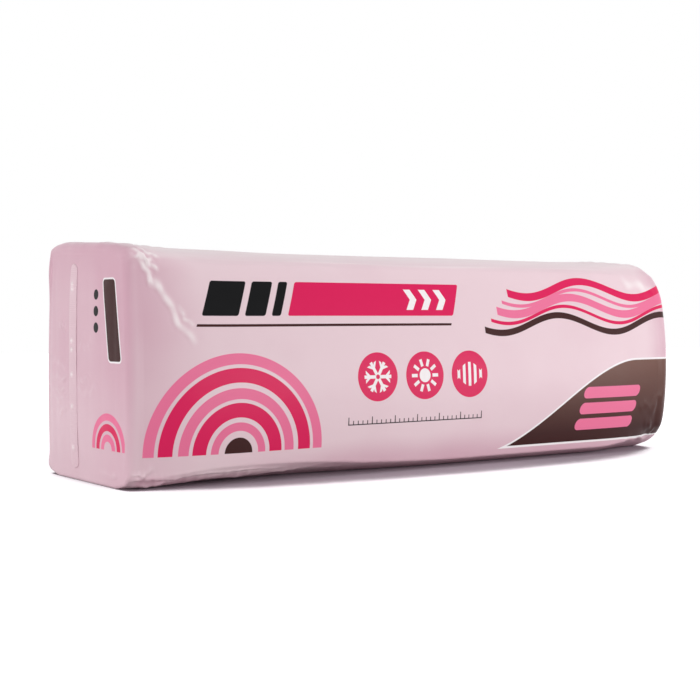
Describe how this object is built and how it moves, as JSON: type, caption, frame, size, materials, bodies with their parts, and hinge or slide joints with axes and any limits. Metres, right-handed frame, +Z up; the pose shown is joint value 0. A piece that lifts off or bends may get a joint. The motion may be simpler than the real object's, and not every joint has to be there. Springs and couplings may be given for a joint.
{
  "type": "bagged fiberglass batt bundle",
  "caption": "Sealed pale pink film bag packed tight with compressed fiberglass batts on edge, flat sealed ends and bulged sides, lying on its long narrow side.",
  "frame": {"origin": "on the floor, under the middle of the bag", "axes": "+X along the batts, +Y from the printed front to the back, +Z up"},
  "size_m": [1.235, 0.3766, 0.3969],
  "materials": {
    "film": "satin",
    "wool": "fibrous"
  },
  "bodies": {
    "root": {"bag_film": "film", "batt_1": "wool", "batt_2": "wool", "batt_3": "wool", "batt_4": "wool", "batt_5": "wool", "batt_6": "wool", "batt_7": "wool", "batt_8": "wool"}
  },
  "joints": []
}
